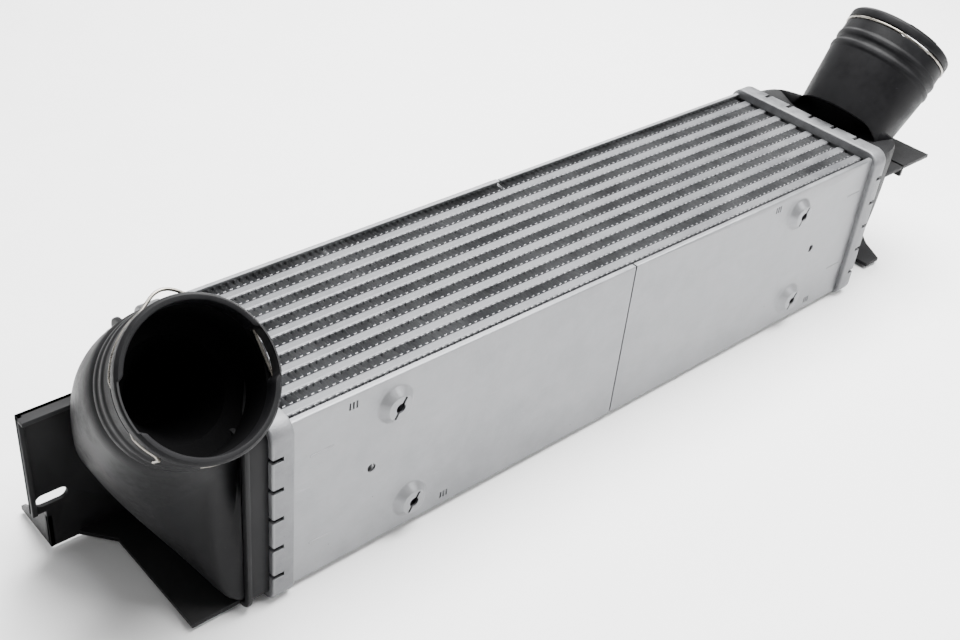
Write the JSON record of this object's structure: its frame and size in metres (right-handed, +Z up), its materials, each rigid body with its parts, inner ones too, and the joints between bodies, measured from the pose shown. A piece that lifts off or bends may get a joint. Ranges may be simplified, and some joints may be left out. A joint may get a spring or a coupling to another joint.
{
  "type": "charge-air intercooler",
  "caption": "Flat charge-air cooler with a finned aluminium core, crimped headers and two moulded end tanks with round hose necks.",
  "frame": {"origin": "middle of the overall box in X and Y, at the underside of the headers in Z", "axes": "+X along the core from the inlet tank to the outlet tank, +Y from the front plate to the rear plate, +Z up through the fins, towards the necks"},
  "size_m": [0.7423, 0.1661, 0.2056],
  "materials": {
    "plastic": "moulded black plastic, slightly glossy",
    "aluminium": "bare mill-finish sheet, dull after brazing",
    "fins": "thin folded fin sheet, dull",
    "seal": "black elastomer",
    "wire": "bright spring steel wire"
  },
  "bodies": {
    "root": {"inlet_tank": "plastic", "outlet_tank": "plastic", "inlet_header": "aluminium", "outlet_header": "aluminium", "inlet_gasket": "seal", "outlet_gasket": "seal", "front_plate_inlet": "aluminium", "front_plate_outlet": "aluminium", "rear_plate_inlet": "aluminium", "rear_plate_outlet": "aluminium", "inlet_clip": "wire", "outlet_clip": "wire", "tube_1": "aluminium", "tube_2": "aluminium", "tube_3": "aluminium", "tube_4": "aluminium", "tube_5": "aluminium", "tube_6": "aluminium", "tube_7": "aluminium", "tube_8": "aluminium", "turbulator_1": "fins", "turbulator_2": "fins", "turbulator_3": "fins", "turbulator_4": "fins", "turbulator_5": "fins", "turbulator_6": "fins", "turbulator_7": "fins", "turbulator_8": "fins", "fin_row_1": "fins", "fin_row_2": "fins", "fin_row_3": "fins", "fin_row_4": "fins", "fin_row_5": "fins", "fin_row_6": "fins", "fin_row_7": "fins", "fin_row_8": "fins", "fin_row_9": "fins"}
  },
  "joints": []
}
